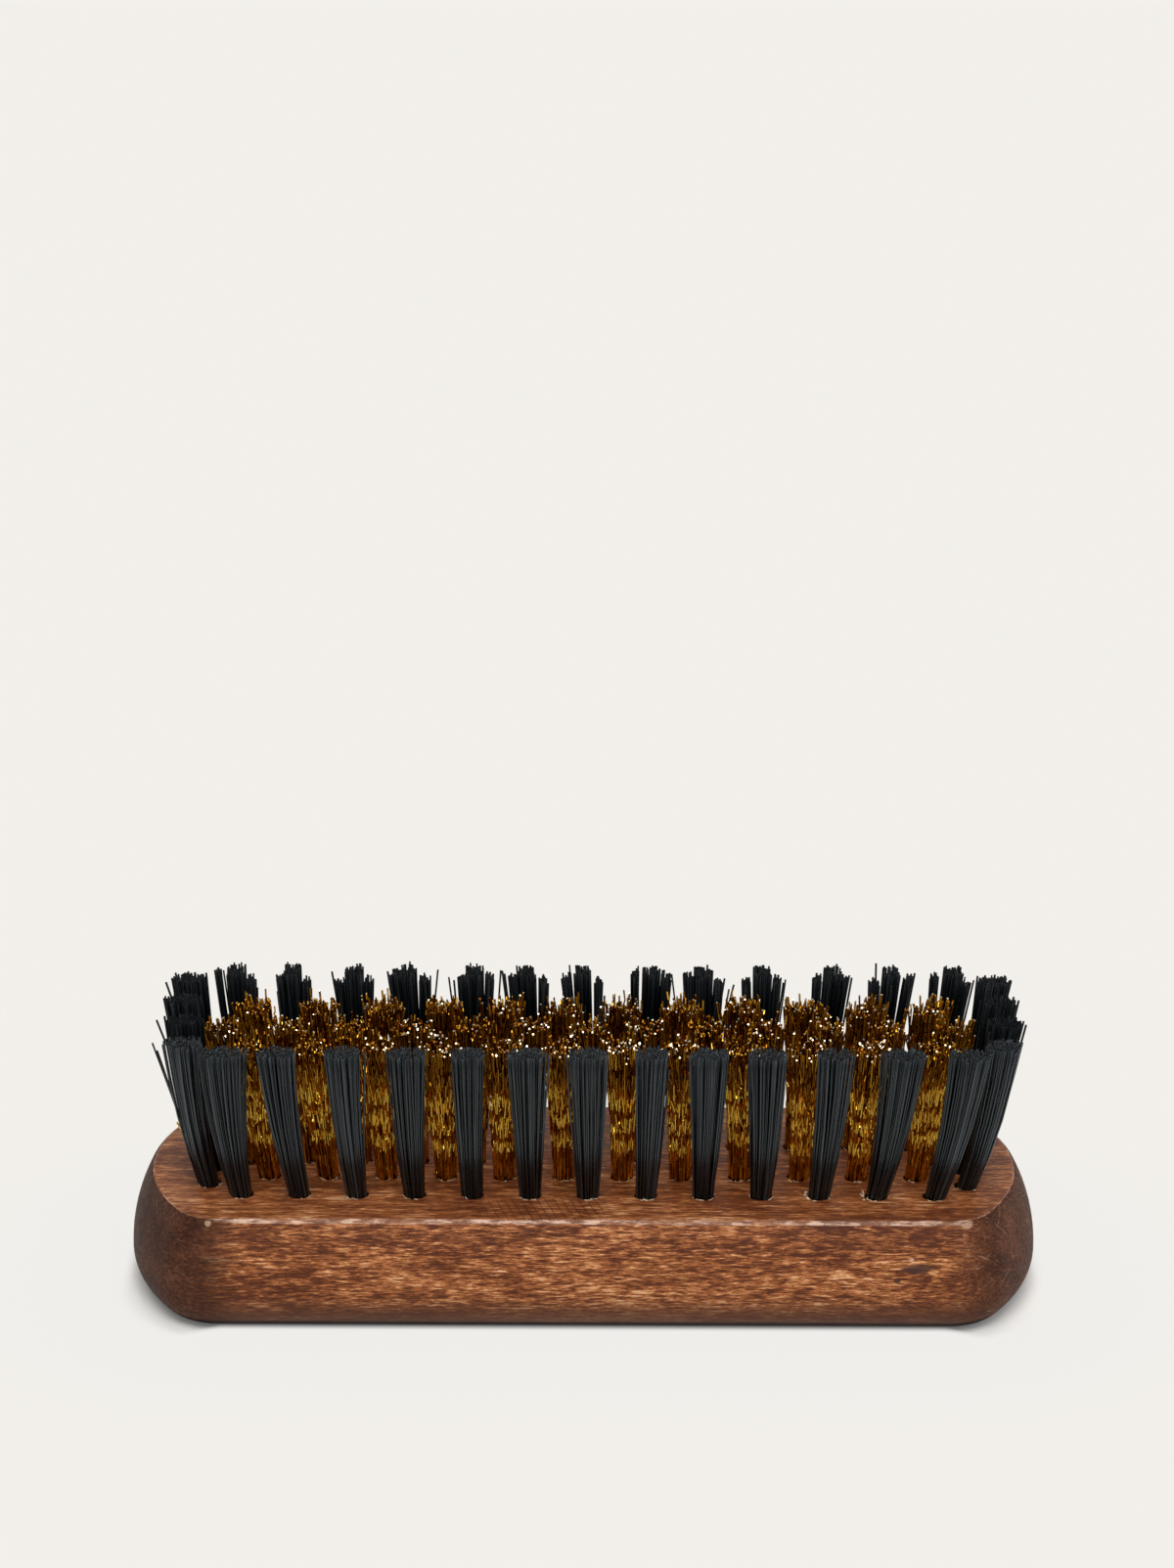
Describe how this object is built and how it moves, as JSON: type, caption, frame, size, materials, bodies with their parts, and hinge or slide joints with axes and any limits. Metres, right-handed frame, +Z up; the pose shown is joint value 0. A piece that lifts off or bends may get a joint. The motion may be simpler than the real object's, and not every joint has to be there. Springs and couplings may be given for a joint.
{
  "type": "suede brush",
  "caption": "Small hand brush for suede: a rounded dark wooden block drilled for rows of crimped brass wire tufts inside a ring of stiff black nylon tufts.",
  "frame": {"origin": "middle of the flat wooden back that the brush lies on", "axes": "+X along the brush, +Y across it, +Z up through the bristles"},
  "size_m": [0.125, 0.045, 0.0385],
  "materials": {
    "stained_beech": "satin",
    "nylon_bristle": "satin",
    "brass_wire": "polished",
    "anchor_steel": "plain"
  },
  "bodies": {
    "root": {"brush_block": "stained_beech", "nylon_tuft_front_01": "nylon_bristle", "nylon_tuft_front_02": "nylon_bristle", "nylon_tuft_front_03": "nylon_bristle", "nylon_tuft_front_04": "nylon_bristle", "nylon_tuft_front_05": "nylon_bristle", "nylon_tuft_front_06": "nylon_bristle", "nylon_tuft_front_07": "nylon_bristle", "nylon_tuft_front_08": "nylon_bristle", "nylon_tuft_front_09": "nylon_bristle", "nylon_tuft_front_10": "nylon_bristle", "nylon_tuft_front_11": "nylon_bristle", "nylon_tuft_front_12": "nylon_bristle", "nylon_tuft_front_13": "nylon_bristle", "nylon_tuft_back_01": "nylon_bristle", "nylon_tuft_back_02": "nylon_bristle", "nylon_tuft_back_03": "nylon_bristle", "nylon_tuft_back_04": "nylon_bristle", "nylon_tuft_back_05": "nylon_bristle", "nylon_tuft_back_06": "nylon_bristle", "nylon_tuft_back_07": "nylon_bristle", "nylon_tuft_back_08": "nylon_bristle", "nylon_tuft_back_09": "nylon_bristle", "nylon_tuft_back_10": "nylon_bristle", "nylon_tuft_back_11": "nylon_bristle", "nylon_tuft_back_12": "nylon_bristle", "nylon_tuft_back_13": "nylon_bristle", "nylon_tuft_left_1": "nylon_bristle", "nylon_tuft_left_2": "nylon_bristle", "nylon_tuft_left_3": "nylon_bristle", "nylon_tuft_left_4": "nylon_bristle", "nylon_tuft_right_1": "nylon_bristle", "nylon_tuft_right_2": "nylon_bristle", "nylon_tuft_right_3": "nylon_bristle", "nylon_tuft_right_4": "nylon_bristle", "brass_row_front": "brass_wire", "brass_row_middle": "brass_wire", "brass_row_back": "brass_wire", "nylon_anchors": "anchor_steel", "brass_anchors": "anchor_steel"}
  },
  "joints": []
}
